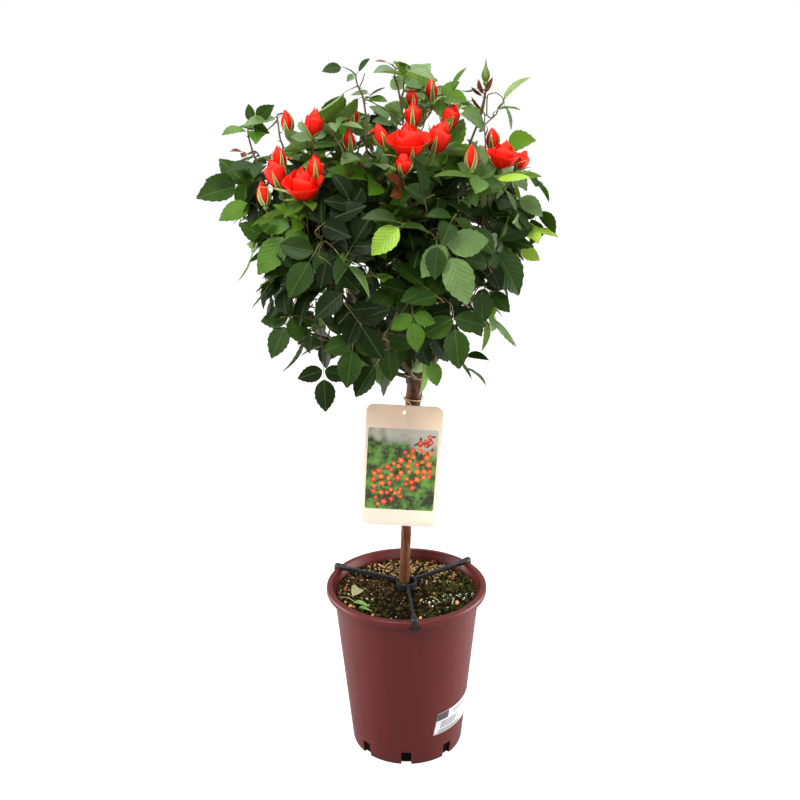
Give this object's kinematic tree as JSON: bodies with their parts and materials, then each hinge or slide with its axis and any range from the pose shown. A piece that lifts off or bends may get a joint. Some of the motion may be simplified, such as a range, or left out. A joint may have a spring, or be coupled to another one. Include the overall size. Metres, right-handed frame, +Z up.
{
  "type": "potted tree rose",
  "caption": "Small tree rose in a nursery pot: one clear stem, a round leafy crown with open blooms and buds, a stem holder on the rim and a hanging care tag.",
  "frame": {"origin": "centre of the pot's flat underside, on the surface it stands on", "axes": "+Z up along the stem, -Y towards the side that the picture shows, +X to the right in the picture"},
  "size_m": [0.3844, 0.3438, 0.8062],
  "materials": {
    "pot_plastic": "satin oxblood plastic",
    "soil": "rough potting mix",
    "bark": "matt bark",
    "young_bark": "matt young bark",
    "holder_plastic": "satin black plastic",
    "card": "smooth printed card",
    "twine": "thin twisted string",
    "leaf": "leaf"
  },
  "bodies": {
    "root": {"pot": "pot_plastic", "soil": "soil", "trunk": "bark", "stem_holder": "holder_plastic", "care_tag": "card", "tag_string": "twine", "bough_low_front": "young_bark", "bough_low_right": "young_bark", "bough_low_right_back": "young_bark", "bough_low_left_back": "young_bark", "bough_low_left": "young_bark", "bough_high_front_left": "young_bark", "bough_high_front_right": "young_bark", "bough_high_right": "young_bark", "bough_high_right_back": "young_bark", "bough_high_left_back": "young_bark", "bough_high_left": "young_bark", "bough_top_front": "young_bark", "bough_top_back": "young_bark", "foliage_low_front": "leaf", "foliage_low_right": "leaf", "foliage_low_right_back": "leaf", "foliage_low_left_back": "leaf", "foliage_low_left": "leaf", "foliage_high_front_left": "leaf", "foliage_high_front_right": "leaf", "foliage_high_right": "leaf", "foliage_high_right_back": "leaf", "foliage_high_left_back": "leaf", "foliage_high_left": "leaf", "foliage_top_front": "leaf", "foliage_top_back": "leaf"}
  },
  "joints": []
}
